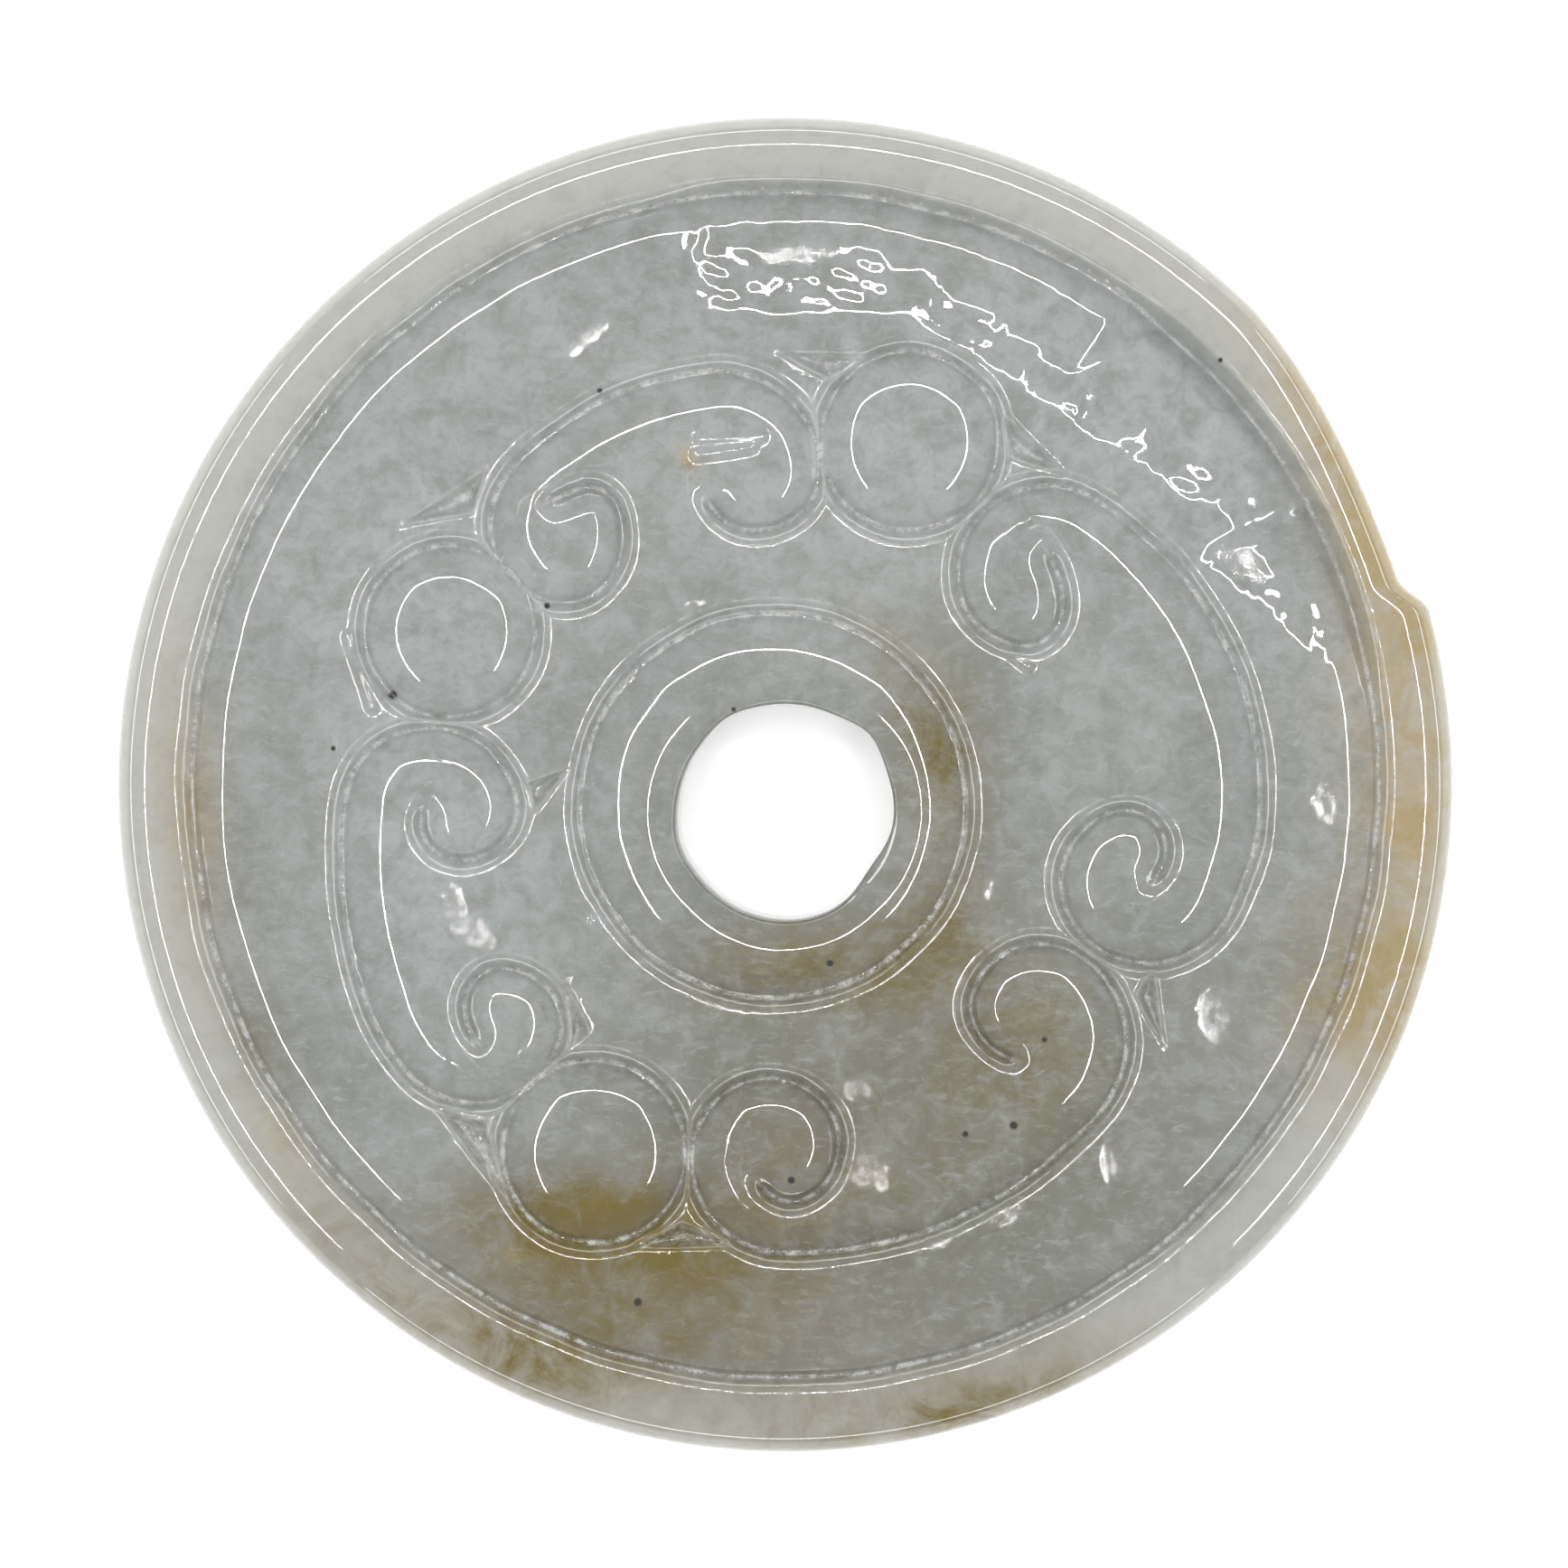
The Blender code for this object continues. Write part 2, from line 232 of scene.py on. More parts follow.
# Shallow flaws in the polish: the place, half sizes, lean and depth of each.
DENTS = (
    ((-0.296, 0.670), (0.050, 0.012), 40, 0.000032),
    ((-0.475, -0.215), (0.055, 0.020), -35, 0.000045),
    ((-0.500, -0.165), (0.030, 0.015), -60, 0.000035),
    ((0.640, -0.345), (0.022, 0.042), 12, 0.000050),
    ((0.125, -0.578), (0.042, 0.026), -30, 0.000050),
    ((0.107, -0.456), (0.022, 0.018), 0, 0.000040),
    ((0.335, -0.640), (0.034, 0.014), 35, 0.000045),
    ((0.229, -0.685), (0.020, 0.010), 20, 0.000035),
    ((0.483, -0.567), (0.010, 0.032), 10, 0.000035),
    ((-0.100, -0.330), (0.070, 0.014), -10, 0.000025),
    ((-0.134, 0.276), (0.024, 0.008), 5, 0.000030),
    ((-0.294, -0.192), (0.008, 0.030), 10, 0.000025),
    ((0.811, -0.028), (0.024, 0.038), 20, 0.000032),
    ((0.312, -0.162), (0.010, 0.030), -15, 0.000025),
    ((0.680, 0.330), (0.045, 0.020), -35, 0.000045),
    ((0.020, 0.790), (0.060, 0.020), 5, 0.000040),
)
# Dark specks: the place and the radius of each.
SPECKS = (
    ((-0.587, 0.134), 0.0065), ((-0.356, 0.267), 0.0045), ((0.009, -0.591), 0.0055),
    ((0.067, -0.267), 0.0050), ((-0.077, 0.112), 0.0035), ((-0.220, -0.773), 0.0060),
    ((0.387, -0.381), 0.0040), ((0.341, -0.509), 0.0060), ((-0.277, 0.588), 0.0040),
    ((0.269, -0.522), 0.0045), ((0.650, 0.634), 0.0035), ((-0.675, 0.054), 0.0035),
)

# Where the stone's colour counts as the carved face's or the rim's, where the rim takes its painted light:
# depths in metres, shares of the radius, and how pale that painted light on the rim is at the bottom
# against the top.
PATCH_FALL = 0.7
FACE_REACH = 0.0028
FACE_BLEND = 0.0012
RIM_BLEND = (0.87, 0.94)
RIM_PALE_LOW = 0.78
RIM_RISE = 0.9

# The stone's colours, with the colours painted for light and shade on it, in linear light.
JADE_PALE = (0.215, 0.222, 0.209, 1)
JADE_DEEP = (0.165, 0.171, 0.159, 1)
# Painted light: the paler colour of the rim, standing in for light through its thin edge.
RIM_PAINTED_LIGHT = (0.310, 0.310, 0.285, 1)
# Pale cloud in the stone, and the colour of the painted light on the groove slopes.
CLOUD_AND_SHEEN_WHITE = (0.272, 0.288, 0.290, 1)
OLIVE_BROWN = (0.100, 0.072, 0.003, 1)
OCHRE_TAN = (0.268, 0.208, 0.103, 1)
SHADE_GREEN = (0.118, 0.122, 0.100, 1)
# The white of the frost in the cuts, and of the painted highlight near the top of each groove's wall.
FROST_AND_GLINT_WHITE = (0.420, 0.426, 0.405, 1)
STONE_BROWN = (0.122, 0.103, 0.066, 1)
# Painted shade: the darker brown laid into the grooves.
GROOVE_SHADE_BROWN = (0.082, 0.076, 0.050, 1)
SPECK_DARK = (0.015, 0.014, 0.012, 1)

# The textures in the stone: waves to the metre, detail, roughness and distortion.
TEXTURES = {
    "broad": (150, 4, 0.6, 0.5),
    "mottle": (520, 6, 0.70, 0.8),
    "grain": (3200, 3, 0.65, 0.0),
    "fibre": (1300, 5, 0.7, 0.5),
    "blotch": (900, 5, 0.65, 0.6),
    "ragged": (1700, 6, 0.85, 0.0),
    "patchy": (330, 4, 0.7, 0.0),
    "grit": (5200, 3, 0.7, 0.0),
}
FIBRE_STRETCH = (1, 2.6, 1)

# The part of each texture's range that is stretched to go from 0 to 1.
BROAD_RANGE = (0.38, 0.62)
MOTTLE_RANGE = (0.34, 0.66)
STAIN_RANGE = (0.36, 0.64)
POLISH_RANGE = (0.45, 0.80)
DARK_RANGE = (0.54, 0.30)
PALE_RANGE = (0.50, 0.70)
FIBRE_RANGE = (0.53, 0.68)
GRAIN_RANGE = (0.54, 0.74)
RAGGED_RANGE = (0.42, 0.60)
PATCHY_RANGE = (0.38, 0.62)

# How far each patch follows the mottle: the least of it, and what the mottle adds.
CLOUD_MOTTLE = (0.20, 1.0)
SHADE_MOTTLE = (0.45, 0.70)
BROWN_MOTTLE = (0.50, 0.60)
STAIN_MOTTLE = (0.40, 0.75)
# Painted shade in the grooves: the least of it, and what the shade patches add.
GROOVE_SHADE_AMOUNT = (0.02, 0.60)

# How strong the small marks are, and how far the rim and the stains hide them.
# Painted light on the groove slopes: how far they are lifted towards pale.
PAINTED_SLOPE_LIGHT = 0.30
HIDDEN_BY = {"rim": 0.65, "olive": 0.50, "brown": 0.45}
MOST_HIDDEN = 0.85
DARK_BLOTCHES = 0.45
PALE_BLOTCHES = 0.36
PALE_FIBRES = 0.45
DARK_GRAIN = 0.26

# The pale frosted line on a groove's floor, the painted highlight near the top of its wall, and the frost
# round them.
FLOOR_LINE = 0.00009
WALL_GLINT = 0.00005
WALL_GLINT_PLACE = 0.88
LINE_ENDS = (1.5, 0.4)
LEAST_PATCHY = 0.25
FROST_ROUND_LINE = 0.18
SCUFF_FROST = 0.70
FROST_COLOUR = 0.85
WALL_GLINT_COLOUR = 0.45
SPECK_EDGE = (1.3, 0.7)

# The polish and the light inside the stone.
POLISH = (0.018, 0.03)
FROST_ROUGHNESS = 0.40
STONE_IOR = 1.66
LIGHT_INSIDE = 0.40
LIGHT_REACH = 0.0009
LIGHT_TINT = (1.0, 1.05, 0.95)
GRIT_ALL_OVER = 0.012
GRIT_STRENGTH = 0.5
GRIT_HEIGHT = 0.00006

# The floor and the lamps. Each strip over the disc is set with small lamps along and across it.
FLOOR_HALF = 3.0
FLOOR_DROP = 0.00002
FLOOR_WHITE = (0.93, 0.93, 0.93, 1)
FLOOR_ROUGHNESS = 0.9
FLOOR_GLOW = 0.30
WHITE = (1, 1, 1, 1)
ROOM_LIGHT = 0.79
STRIP_HEIGHT = 0.36
STRIP_OUT = 0.09
STRIP_WIDTH = 0.007
STRIP_POWER = 0.34
LAMPS_ALONG = 60
LAMPS_ACROSS = 2
LAMP_HALF_WIDTH = 0.3
LAMP_STRENGTH = 2.8
LOW_HEIGHT = 0.10
LOW_OUT = 0.30
LOW_LENGTH = 0.5
LOW_WIDTH = 0.024
LOW_POWER = 0.30

# The photograph's frame and the camera.
FRAME_SIDE = 0.06322
CAMERA_HEIGHT = 0.42
CAMERA_ASIDE = (-0.00005, 0.00002)
SENSOR_MM = 36.0


def smooth(share):
    """0 to 1, with no slope at either end."""
    share = np.clip(share, 0, 1)
    return share * share * (3 - 2 * share)


def waves(x, y, length, seed):
    """An even, seeded mix of waves about a length long, from -1 to 1."""
    rng = np.random.default_rng(seed)
    total = np.zeros(np.shape(x))
    for _ in range(WAVES_MIXED):
        turn = rng.uniform(0, 2 * math.pi)
        size = length * rng.uniform(*WAVE_SPREAD)
        phase = rng.uniform(0, 2 * math.pi)
        total = total + np.sin((x * math.cos(turn) + y * math.sin(turn)) * 2 * math.pi / size + phase)
    return total / WAVES_MIXED


def stroke(start, heading, arcs):
    """The points of a chain of arcs that all turn right, in metres."""
    x, y = start
    turn = math.radians(heading)
    points = [(x, y)]
    for radius, sweep in arcs:
        centre_x = x + radius * math.sin(turn)
        centre_y = y - radius * math.cos(turn)
        for step in range(1, ARC_STEPS + 1):
            now = turn - math.radians(sweep) * step / ARC_STEPS
            points.append((centre_x - radius * math.sin(now), centre_y + radius * math.cos(now)))
        x, y = points[-1]
        turn -= math.radians(sweep)
    return RADIUS * np.array(points)


def beside(x, y, line):
    """The distance to a line of points, which side it is on (1 to the right) and how far along it."""
    nearest = np.full(x.shape, np.inf)
    side = np.ones(x.shape)
    along = np.zeros(x.shape)
    reach = BACK_SLOPE + GROOVE_WALL
    gone = 0.0
    for (ax, ay), (bx, by) in zip(line[:-1], line[1:]):
        length = math.hypot(bx - ax, by - ay)
        ux, uy = (bx - ax) / length, (by - ay) / length
        near = np.flatnonzero(
            (np.abs(x - (ax + bx) / 2) < reach + length) & (np.abs(y - (ay + by) / 2) < reach + length)
        )
        px, py = x[near] - ax, y[near] - ay
        here = np.clip(px * ux + py * uy, 0, length)
        away = np.hypot(px - ux * here, py - uy * here)
        closer = away < nearest[near]
        chosen = near[closer]
        nearest[chosen] = away[closer]
        side[chosen] = np.where((px * uy - py * ux)[closer] >= 0, 1.0, -1.0)
        along[chosen] = gone + here[closer]
        gone += length
    return nearest, side, along, gone


def scroll_lines(x, y):
    """Where each point lies beside the first curl, and then beside the rest, of each scroll."""
    lines = []
    for start, heading, arcs in SCROLLS.values():
        line = stroke(start, heading, arcs)
        turned = CURL_ARCS * ARC_STEPS
        distance, side, along, curl_length = beside(x, y, line[:turned + 1])
        rest = beside(x, y, line[turned:])
        length = curl_length + rest[3]
        lines.append((distance, side, along, length))
        lines.append((rest[0], rest[1], curl_length + rest[2], length))
    return lines


def cut(distance, side, depth, slope, wall):
    """The depth of a groove: a long slope on its inner side and a short wall on its outer side."""
    width = np.where(side > 0, slope, wall)
    return depth * np.clip(1 - distance / width, 0, 1) ** CUT_CURVE


def pit_cut(x, y, corners):
    """A three-cornered cut, deepest in its middle."""
    inside = np.full(x.shape, np.inf)
    middle = np.mean(corners, axis=0)
    for (ax, ay), (bx, by) in zip(corners, corners[1:] + corners[:1]):
        length = math.hypot(bx - ax, by - ay)
        across = ((x / RADIUS - ax) * (by - ay) - (y / RADIUS - ay) * (bx - ax)) / length
        facing = (middle[0] - ax) * (by - ay) - (middle[1] - ay) * (bx - ax)
        inside = np.minimum(inside, across * math.copysign(RADIUS, facing))
    half_wall = PIT_WALL / 2
    return PIT_DEPTH * smooth((inside + half_wall) / PIT_WALL)


def carved(x, y):
    """How far the carving lies below the top, how frosted it is, and how far the nearest cut's floor is.

    The last is more than 0 on the cut's inner side and less on its outer side.
    """
    x = x + LINE_WANDER * waves(x, y, LINE_WANDER_LENGTH, 3)
    y = y + LINE_WANDER * waves(x, y, LINE_WANDER_LENGTH, 4)
    rings = [((0, 0), RIM_GROOVE, RIM_GROOVE_DEPTH, RIM_GROOVE_SLOPE)]
    rings.append((COLLAR_CENTRE, COLLAR_GROOVE, COLLAR_GROOVE_DEPTH, BACK_SLOPE))
    rings += [(centre, share, GROOVE_DEPTH, BOSS_SLOPE) for centre, share in BOSSES.values()]
    depth = np.zeros(x.shape)
    frost = np.zeros(x.shape)
    seam = np.full(x.shape, BACK_SLOPE)
    for (cx, cy), share, deep, slope in rings:
        out = np.hypot(x - RADIUS * cx, y - RADIUS * cy) - RADIUS * share
        depth = np.maximum(depth, cut(np.abs(out), -out, deep, slope, GROOVE_WALL))
        frost = np.maximum(frost, np.exp(-((out / FROST_WIDTH) ** 2)))
        seam = np.where(np.abs(out) < np.abs(seam), -out, seam)
    for distance, side, along, length in scroll_lines(x, y):
        fade = smooth(along / GROOVE_FADE) * smooth((length - along) / GROOVE_FADE)
        back = np.sin(math.pi * along / length) ** 2
        slope = CURL_SLOPE + (BACK_SLOPE - CURL_SLOPE) * back
        depth = np.maximum(depth, cut(distance, side, GROOVE_DEPTH * fade, slope, GROOVE_WALL))
        frost = np.maximum(frost, fade * np.exp(-((distance / FROST_WIDTH) ** 2)))
        seam = np.where(distance < np.abs(seam), distance * side, seam)
    for ends in NICKS.values():
        distance, _, _, _ = beside(x, y, RADIUS * np.array(ends))
        depth = np.maximum(depth, NICK_DEPTH * np.clip(1 - distance / NICK_WIDTH, 0, 1))
        frosted = np.exp(-((distance / (FROST_WIDTH * NICK_FROST)) ** 2))
        frost = np.maximum(frost, NICK_FROST * frosted)
    for corners in PITS.values():
        pit = pit_cut(x, y, corners)
        depth = np.maximum(depth, pit)
        frost = np.maximum(frost, PIT_FROST * smooth(pit / PIT_DEPTH))
    return depth, frost, seam


def field_fall(x, y):
    """How far the facets at the upper right lie below the field."""
    radius = np.hypot(x, y) / RADIUS
    angle = np.degrees(np.arctan2(y, x))
    fall = np.zeros(x.shape)
    for facing, start, slope, (first, last) in FACETS.values():
        turn = math.radians(facing)
        beyond = x * math.cos(turn) + y * math.sin(turn) - RADIUS * start
        ground = slope * (beyond + np.hypot(beyond, FALL_BEND)) / 2
        between = smooth((angle - first) / FACET_EDGE) * smooth((last - angle) / FACET_EDGE)
        fall = np.maximum(fall, ground * between)
    closed, opened = FLOOR_OPENS
    floor = FALL_FLOOR + OPEN_FLOOR * smooth((closed - angle) / (closed - opened))
    levelled = (fall + floor - np.hypot(fall - floor, FALL_REST)) / 2
    still, last = FACETS_END
    at_rim = smooth(1 - (radius - RIM_GROOVE) * RADIUS / GROOVE_WALL)
    return np.maximum(levelled, 0) * smooth((last - angle) / (last - still)) * at_rim


def rippled(x, y, fall):
    """1 where the grinding left ripples: along the edge of each facet and over the top one."""
    radius = np.hypot(x, y) / RADIUS
    angle = np.degrees(np.arctan2(y, x))
    first, full = RIPPLE_ANGLES
    near = np.maximum(np.exp(-((fall / RIPPLE_REACH) ** 2)), smooth((angle - first) / (full - first)))
    return near * smooth(fall / FALL_REST) * smooth((RIM_GROOVE - radius) / RIPPLE_CALM_AT_RIM)


def dents(x, y):
    """Small shallow flaws in the polish."""
    depth = np.zeros(x.shape)
    for (cx, cy), (wide, high), lean, deep in DENTS:
        turn = math.radians(lean)
        across = ((x / RADIUS - cx) * math.cos(turn) + (y / RADIUS - cy) * math.sin(turn)) / wide
        up = ((y / RADIUS - cy) * math.cos(turn) - (x / RADIUS - cx) * math.sin(turn)) / high
        depth = depth + deep * np.exp(-(across ** 2 + up ** 2) ** 2)
    return depth * (1 + DENT_UNEVENNESS * waves(x, y, DENT_WAVE_LENGTH, 31))


def lip(x, y):
    """The rounded fall from the collar's crest to the edge of the hole."""
    reach = HOLE_DIAMETER / 2 + LIP_WIDTH
    radius = np.hypot(x, y + HOLE_BELOW_CENTRE)
    return LIP_DROP * np.clip((reach - radius) / LIP_WIDTH, 0, None) ** CUT_CURVE


def top(x, y):
    """The height of the carved face, with the marks that the hand and the wheel left on it."""
    depth, frost, _ = carved(x, y)
    inside = smooth((RIM_GROOVE - np.hypot(x, y) / RADIUS) / CALM_AT_RIM)
    wander = FACET_WANDER * inside * waves(x, y, FACET_WANDER_LENGTH, 17)
    fall = field_fall(x + wander, y + wander)
    height = THICKNESS - depth - fall - lip(x, y)
    height = height - TOOL_MARKS * frost * (0.5 + 0.5 * waves(x, y, TOOL_MARK_LENGTH, 8))
    height = height - RIPPLE * rippled(x, y, fall) * (1 + waves(x, y, RIPPLE_LENGTH, 21))
    height = height - dents(x, y)
    return height - FIELD_WAVE * (1 + waves(x, y, FIELD_WAVE_LENGTH, 12))


def disc_radius(angle):
    """The radius of the outline at angles in degrees, worn back at the notch."""
    worn = smooth((NOTCH_START - angle) / (NOTCH_START - NOTCH_DEEPEST)) ** NOTCH_CURVE
    step = smooth((angle - NOTCH_END) / (NOTCH_STEP - NOTCH_END))
    return RADIUS - NOTCH_DEPTH * worn * step


def hole_radius(angle):
    """The radius of the hole at angles in degrees."""
    share = np.ones(angle.shape)
    for at, bulge, width in HOLE_BULGES:
        apart = (angle - at + 180) % 360 - 180
        share += bulge * np.exp(-((apart / width) ** 2))
    return HOLE_DIAMETER / 2 * share


def disc_rings():
    """Closed rings of points: over the top from the hole, round the edge, and back underneath."""
    angle = np.degrees(np.linspace(-math.pi, math.pi, ROUND_STEPS, endpoint=False))
    across, up = np.cos(np.radians(angle)), np.sin(np.radians(angle))

    def outer(inset):
        radius = disc_radius(angle) - inset
        return np.stack([radius * across, radius * up], 1)

    def hole(inset, lean):
        radius = hole_radius(angle) - inset
        return np.stack([radius * across + lean, radius * up - HOLE_BELOW_CENTRE + lean], 1)

    def ring(points, height):
        return np.column_stack([points, np.broadcast_to(height, len(points))])

    rings = []
    shares = np.linspace(0, 1, TOP_RINGS)
    face = np.stack([(1 - share) * hole(0, 0) + share * outer(EDGE_ROUND_WIDTH) for share in shares])
    heights = top(face[..., 0].ravel(), face[..., 1].ravel()).reshape(face.shape[:2])
    rings += [ring(points, height) for points, height in zip(face, heights)]
    shoulder = heights[-1]
    for step in range(1, EDGE_STEPS + 1):
        turn = math.pi / 2 * step / EDGE_STEPS
        points = outer(EDGE_ROUND_WIDTH * (1 - math.sin(turn)))
        rings.append(ring(points, shoulder - EDGE_ROUND_HEIGHT * (1 - math.cos(turn))))
    for step in range(EDGE_STEPS + 1):
        turn = math.pi / 2 * step / EDGE_STEPS
        points = outer(UNDER_ROUND_WIDTH * (1 - math.cos(turn)))
        rings.append(ring(points, UNDER_ROUND_HEIGHT * (1 - math.sin(turn))))
    for share in np.linspace(0, 1, UNDER_RINGS + 1)[1:]:
        points = (1 - share) * outer(UNDER_ROUND_WIDTH) + share * hole(-HOLE_CHAMFER, HOLE_LEAN)
        rings.append(ring(points, 0.0))
    rings.append(ring(hole(0, HOLE_LEAN), HOLE_CHAMFER))
    return np.array(rings)


def patches(x, y, listed):
    """The strength at each point of the soft patches in a list, in shares of the radius."""
    total = np.zeros(x.shape)
    for (cx, cy), (wide, high), lean, strength in listed:
        turn = math.radians(lean)
        across = ((x - cx) * math.cos(turn) + (y - cy) * math.sin(turn)) / wide
        up = ((y - cy) * math.cos(turn) - (x - cx) * math.sin(turn)) / high
        total = total + strength * np.exp(-(across ** 2 + up ** 2) * PATCH_FALL)
    return total


def give(mesh, name, values):
    """Stores a value at each point of the surface under a name."""
    mesh.attributes.new(name, "FLOAT", "POINT").data.foreach_set("value", values.astype(np.float32))


def colour_places(mesh):
    """Says at each point of the surface how much of each colour the stone has there, and where the painted
    light on the rim and the groove slopes, the painted shade in the grooves and the painted highlight near
    the groove walls go.
    """
    spots = np.empty(len(mesh.vertices) * 3, np.float32)
    mesh.vertices.foreach_get("co", spots)
    x, y, z = spots.reshape(-1, 3).astype(float).T
    face = smooth((z - THICKNESS + FACE_REACH) / FACE_BLEND)
    depth, frost, seam = carved(x, y)
    give(mesh, "frost", frost * face)
    give(mesh, "seam", seam)
    # The depth of the cuts, which places the painted light on the groove slopes and the painted shade in
    # them.
    give(mesh, "deep", np.sqrt(smooth(depth / GROOVE_DEPTH)) * face)
    sx, sy = x / RADIUS, y / RADIUS
    stains = {"olive": OLIVE, "ochre": OCHRE, "cloud": CLOUD, "shade": SHADE, "brown": BROWN}
    for name, listed in stains.items():
        give(mesh, name, patches(sx, sy, listed))
    pits = np.max([pit_cut(x, y, corners) for corners in PITS.values()], axis=0) / PIT_DEPTH
    flaws = smooth(dents(x, y) / SCUFF_DEPTH)
    give(mesh, "scuff", np.maximum(DENT_SCUFF * flaws, PIT_SCUFF * pits) * face)
    # The rim's painted light: paler towards the edge, for light through the thin stone there, and paler at
    # the top than at the bottom. The same mask hides the small marks at the rim.
    first, last = RIM_BLEND
    at_rim = smooth((np.hypot(sx, sy) - first) / (last - first))
    give(mesh, "rim", at_rim * (RIM_PALE_LOW + (1 - RIM_PALE_LOW) * smooth((sy + RIM_RISE) / RIM_RISE)))


def disc_mesh():
    """The dense closed surface, thinned where it is flat."""
    rings = disc_rings()
    count = len(rings)
    ring = np.arange(count)[:, None] * ROUND_STEPS
    following = (np.arange(1, count + 1) % count)[:, None] * ROUND_STEPS
    here = np.arange(ROUND_STEPS)[None]
    after = (here + 1) % ROUND_STEPS
    quads = np.stack([ring + here, following + here, following + after, ring + after], -1)
    quads = quads.reshape(-1, 4)
    dense = bpy.data.meshes.new("dense")
    dense.from_pydata(rings.reshape(-1, 3), [], quads)
    holder = bpy.data.objects.new("dense", dense)
    bpy.context.scene.collection.objects.link(holder)
    fewer = holder.modifiers.new("fewer", "DECIMATE")
    fewer.ratio = TRIANGLES / (2 * len(quads))
    graph = bpy.context.evaluated_depsgraph_get()
    mesh = bpy.data.meshes.new_from_object(holder.evaluated_get(graph))
    bpy.data.objects.remove(holder, do_unlink=True)
    bpy.data.meshes.remove(dense)
    mesh.name = "bi_disc_carved"
    mesh.shade_smooth()
    return mesh


class Nodes:
    """A short way to write the nodes of a material or a lamp."""

    def __init__(self, tree):
        self.tree = tree

    def new(self, kind, sources=(), **values):
        node = self.tree.nodes.new(kind)
        for name, value in values.items():
            setattr(node, name, value)
        for socket, source in dict(sources).items():
            self.put(node.inputs[socket], source)
        return node

    def put(self, socket, source):
        if isinstance(source, bpy.types.NodeSocket):
            self.tree.links.new(source, socket)
        else:
            socket.default_value = source

    def amount(self, name):
        return self.new("ShaderNodeAttribute", attribute_name=name).outputs["Fac"]

    def math(self, operation, *sources):
        node = self.new("ShaderNodeMath", operation=operation)
        for socket, source in zip(node.inputs, sources):
            self.put(socket, source)
        return node.outputs[0]

    def plus(self, first, second):
        return self.math("ADD", first, second)

    def times(self, *sources):
        """All the sources multiplied."""
        total = sources[0]
        for source in sources[1:]:
            total = self.math("MULTIPLY", total, source)
        return total

    def at_least(self, least_and_more, source):
        """The least value, and more of it where the source is strong."""
        least, more = least_and_more
        return self.plus(least, self.times(source, more))

    def mix(self, share, first, second):
        node = self.new("ShaderNodeMix", data_type="RGBA", clamp_factor=True)
        self.put(node.inputs[0], share)
        self.put(node.inputs[6], first)
        self.put(node.inputs[7], second)
        return node.outputs[2]

    def texture(self, place, name):
        scale, detail, rough, warp = TEXTURES[name]
        node = self.new("ShaderNodeTexNoise", {"Vector": place, "Scale": scale, "Detail": detail})
        self.put(node.inputs["Roughness"], rough)
        self.put(node.inputs["Distortion"], warp)
        return node.outputs["Fac"]

    def spread(self, source, ends):
        """The source stretched so that the first end becomes 0 and the second becomes 1."""
        low, high = ends
        node = self.new("ShaderNodeMapRange", {"Value": source, "From Min": low, "From Max": high})
        return node.outputs[0]


def shader_nodes(material):
    """The nodes of a new material, and its shader's sockets."""
    material.use_nodes = True
    n = Nodes(material.node_tree)
    return n, n.tree.nodes["Principled BSDF"].inputs


def stone_colour(n, place, mottle):
    """The body of the stone: pale and deep, clouded, shaded and stained, with painted light on the rim and
    the groove slopes and painted shade in the grooves.
    """
    mottled = n.spread(mottle, MOTTLE_RANGE)
    stained = n.at_least(STAIN_MOTTLE, n.spread(mottle, STAIN_RANGE))
    colour = n.mix(n.spread(n.texture(place, "broad"), BROAD_RANGE), JADE_DEEP, JADE_PALE)
    colour = n.mix(n.times(n.amount("cloud"), n.at_least(CLOUD_MOTTLE, mottled)), colour, CLOUD_AND_SHEEN_WHITE)
    colour = n.mix(n.times(n.amount("shade"), n.at_least(SHADE_MOTTLE, mottled)), colour, SHADE_GREEN)
    colour = n.mix(n.times(n.amount("brown"), n.at_least(BROWN_MOTTLE, mottled)), colour, STONE_BROWN)
    clean = n.math("SUBTRACT", 1.0, n.amount("shade"))
    # Painted light: the groove slopes lifted towards pale outside the shade patches, standing in for the
    # light on them.
    colour = n.mix(n.times(n.amount("deep"), clean, PAINTED_SLOPE_LIGHT), colour, CLOUD_AND_SHEEN_WHITE)
    # Painted light: the rim lifted towards pale, for light through its thin edge.
    colour = n.mix(n.amount("rim"), colour, RIM_PAINTED_LIGHT)
    colour = n.mix(n.times(n.amount("ochre"), stained), colour, OCHRE_TAN)
    colour = n.mix(n.times(n.amount("olive"), stained), colour, OLIVE_BROWN)
    # Painted shade: the grooves darkened towards brown, more so in the shade patches.
    groove_shade = n.times(n.amount("deep"), n.at_least(GROOVE_SHADE_AMOUNT, n.amount("shade")))
    return n.mix(groove_shade, colour, GROOVE_SHADE_BROWN)


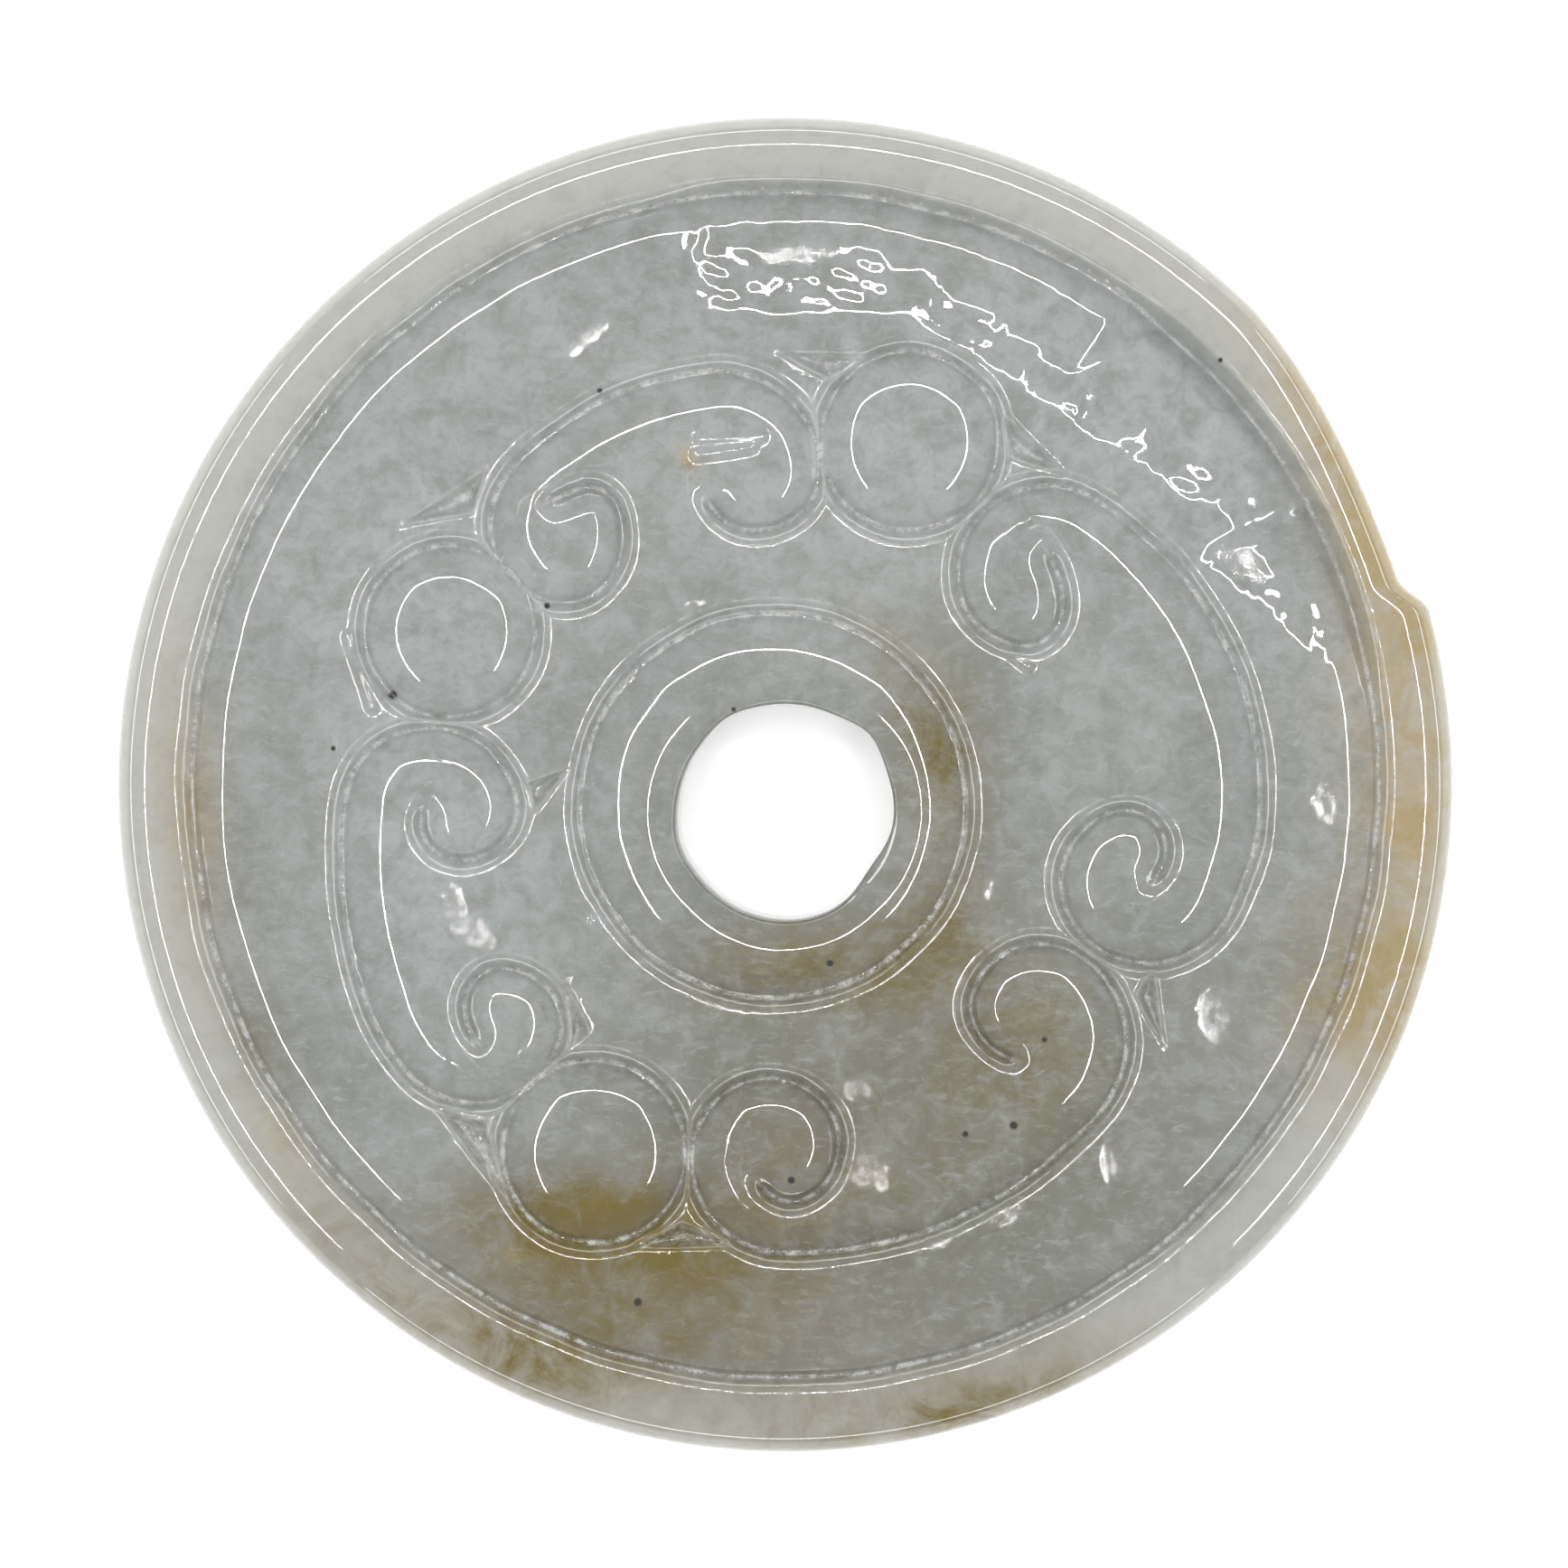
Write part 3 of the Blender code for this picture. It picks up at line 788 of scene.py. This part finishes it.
def flecked(n, place, colour):
    """The colour with small blotches, fibres and grain, fewer at the rim and in the stains."""
    hidden = 0.0
    for name, share in HIDDEN_BY.items():
        hidden = n.plus(hidden, n.times(n.amount(name), share))
    plain = n.math("SUBTRACT", 1.0, n.math("MINIMUM", hidden, MOST_HIDDEN))
    blotch = n.texture(place, "blotch")
    stretched = n.new("ShaderNodeMapping", {"Vector": place, "Scale": FIBRE_STRETCH}).outputs[0]
    marks = (
        (blotch, DARK_RANGE, DARK_BLOTCHES, SHADE_GREEN),
        (blotch, PALE_RANGE, PALE_BLOTCHES, CLOUD_AND_SHEEN_WHITE),
        (n.texture(stretched, "fibre"), FIBRE_RANGE, PALE_FIBRES, CLOUD_AND_SHEEN_WHITE),
        (n.texture(place, "grain"), GRAIN_RANGE, DARK_GRAIN, SHADE_GREEN),
    )
    for source, ends, strength, tint in marks:
        colour = n.mix(n.times(n.spread(source, ends), n.times(plain, strength)), colour, tint)
    return colour


def cut_marks(n, place):
    """How frosted the cuts are, and a painted highlight: the fine pale line near the top of each wall."""
    ragged = n.spread(n.texture(place, "ragged"), RAGGED_RANGE)
    patchy = n.plus(LEAST_PATCHY, n.spread(n.texture(place, "patchy"), PATCHY_RANGE))
    frosted = n.amount("frost")
    floor_line = n.times(fine_line(n, 0.0, FLOOR_LINE), frosted)
    # Painted highlight: a fine pale line near the top of each groove's wall.
    wall_glint = n.times(fine_line(n, -WALL_GLINT_PLACE * GROOVE_WALL, WALL_GLINT), n.times(patchy, ragged))
    frost = n.times(n.plus(floor_line, n.times(frosted, FROST_ROUND_LINE)), ragged, patchy)
    return n.math("MAXIMUM", frost, n.times(n.amount("scuff"), SCUFF_FROST, ragged)), wall_glint


def fine_line(n, offset, half_width):
    """1 on a line beside each cut, at an offset from its floor."""
    away = n.math("ABSOLUTE", n.math("SUBTRACT", n.amount("seam"), offset))
    outer, inner = LINE_ENDS
    return n.spread(away, (half_width * outer, half_width * inner))


def specks(n, place):
    """Small dark inclusions that run down into the stone."""
    flat = n.new("ShaderNodeVectorMath", {0: place, 1: (1, 1, 0)}, operation="MULTIPLY").outputs["Vector"]
    outer, inner = SPECK_EDGE
    total = 0.0
    for (x, y), size in SPECKS:
        spot = (RADIUS * x, RADIUS * y, 0)
        away = n.new("ShaderNodeVectorMath", {0: flat, 1: spot}, operation="DISTANCE").outputs["Value"]
        dark = n.spread(away, (RADIUS * size * outer, RADIUS * size * inner))
        total = n.math("MAXIMUM", total, dark)
    return total


def jade():
    """Polished translucent stone: cloudy, flecked, stained along its veins and frosted where it is cut,
    with painted light on the rim and the groove slopes, painted shade in the grooves and a painted
    highlight near the groove walls.
    """
    material = bpy.data.materials.new("polished jade")
    n, shader = shader_nodes(material)
    place = n.new("ShaderNodeTexCoord").outputs["Object"]
    mottle = n.texture(place, "mottle")
    colour = flecked(n, place, stone_colour(n, place, mottle))
    frost, wall_glint = cut_marks(n, place)
    colour = n.mix(n.times(frost, FROST_COLOUR), colour, FROST_AND_GLINT_WHITE)
    # Painted highlight: the fine pale line near the top of each groove's wall.
    colour = n.mix(n.times(wall_glint, WALL_GLINT_COLOUR), colour, FROST_AND_GLINT_WHITE)
    n.put(shader["Base Color"], n.mix(specks(n, place), colour, SPECK_DARK))
    polish = n.at_least(POLISH, n.spread(mottle, POLISH_RANGE))
    n.put(shader["Roughness"], n.plus(polish, n.times(frost, FROST_ROUGHNESS)))
    n.put(shader["IOR"], STONE_IOR)
    n.put(shader["Subsurface Weight"], LIGHT_INSIDE)
    n.put(shader["Subsurface Radius"], LIGHT_TINT)
    n.put(shader["Subsurface Scale"], LIGHT_REACH)
    grit = n.times(n.plus(frost, GRIT_ALL_OVER), n.texture(place, "grit"))
    bump = n.new("ShaderNodeBump", {"Height": grit, "Strength": GRIT_STRENGTH, "Distance": GRIT_HEIGHT})
    n.put(shader["Normal"], bump.outputs[0])
    return material


def make_disc():
    mesh = disc_mesh()
    colour_places(mesh)
    mesh.materials.clear()
    mesh.materials.append(jade())
    disc = bpy.data.objects.new("bi_disc_carved", mesh)
    bpy.context.scene.collection.objects.link(disc)
    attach(disc, "root")
    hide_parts("bi_disc")


def make_floor():
    mesh = bpy.data.meshes.new("floor")
    corners = [(-1, -1), (1, -1), (1, 1), (-1, 1)]
    points = [(FLOOR_HALF * x, FLOOR_HALF * y, -FLOOR_DROP) for x, y in corners]
    mesh.from_pydata(points, [], [(0, 1, 2, 3)])
    floor = bpy.data.objects.new("floor", mesh)
    bpy.context.scene.collection.objects.link(floor)
    material = bpy.data.materials.new("pale floor")
    n, shader = shader_nodes(material)
    n.put(shader["Base Color"], FLOOR_WHITE)
    n.put(shader["Roughness"], FLOOR_ROUGHNESS)
    n.put(shader["Specular IOR Level"], 0.0)
    n.put(shader["Emission Color"], WHITE)
    n.put(shader["Emission Strength"], FLOOR_GLOW)
    mesh.materials.append(material)


def make_lamp(name, middle, length, width, power):
    """A slim soft lamp that shines down, with its long side square to the way to the middle."""
    light = bpy.data.lights.new(name, "AREA")
    light.shape = "RECTANGLE"
    light.size = length
    light.size_y = width
    light.energy = power
    lamp = bpy.data.objects.new(name, light)
    lamp.location = middle
    bpy.context.scene.collection.objects.link(lamp)
    x, y, _ = middle
    lamp.rotation_euler = (0, 0, math.atan2(y, x) + math.pi / 2)
    return lamp


def lit_part(n, across, count):
    """1 on each of a count of small lamps in a row, and 0 between them."""
    place = n.math("FRACT", n.times(across, count))
    return n.math("LESS_THAN", n.math("ABSOLUTE", n.math("SUBTRACT", place, 0.5)), LAMP_HALF_WIDTH)


def set_with_lamps(light):
    """Makes a lamp rows of small lamps, as in a light box."""
    light.use_nodes = True
    n = Nodes(light.node_tree)
    place = n.new("ShaderNodeNewGeometry").outputs["Parametric"]
    split = n.new("ShaderNodeSeparateXYZ", {0: place}).outputs
    lit = n.times(lit_part(n, split[0], LAMPS_ALONG), lit_part(n, split[1], LAMPS_ACROSS))
    n.put(n.tree.nodes["Emission"].inputs["Strength"], n.times(lit, LAMP_STRENGTH))


def make_light():
    world = bpy.data.worlds.new("studio")
    bpy.context.scene.world = world
    world.use_nodes = True
    background = world.node_tree.nodes["Background"].inputs
    background["Color"].default_value = WHITE
    background["Strength"].default_value = ROOM_LIGHT
    for name, x, y in (("left", -1, 0), ("top", 0, 1), ("right", 1, 0)):
        middle = (STRIP_OUT * x, STRIP_OUT * y, STRIP_HEIGHT)
        strip = make_lamp(name + "_strip", middle, 2 * STRIP_OUT, STRIP_WIDTH, STRIP_POWER)
        set_with_lamps(strip.data)
    for name, x, y in (("left", -1, 0), ("right", 1, 0), ("front", 0, -1), ("back", 0, 1)):
        middle = (LOW_OUT * x, LOW_OUT * y, LOW_HEIGHT)
        lamp = make_lamp(name + "_low", middle, LOW_LENGTH, LOW_WIDTH, LOW_POWER)
        lamp.rotation_euler.x = math.pi / 2


def make_camera():
    lens = bpy.data.cameras.new("camera")
    lens.sensor_width = SENSOR_MM
    lens.lens = SENSOR_MM * CAMERA_HEIGHT / FRAME_SIDE
    camera = bpy.data.objects.new("camera", lens)
    camera.location = (*CAMERA_ASIDE, THICKNESS + CAMERA_HEIGHT)
    bpy.context.scene.collection.objects.link(camera)
    bpy.context.scene.camera = camera


make_disc()
make_floor()
make_light()
make_camera()
bpy.context.scene.view_settings.view_transform = "Standard"
bpy.context.view_layer.update()
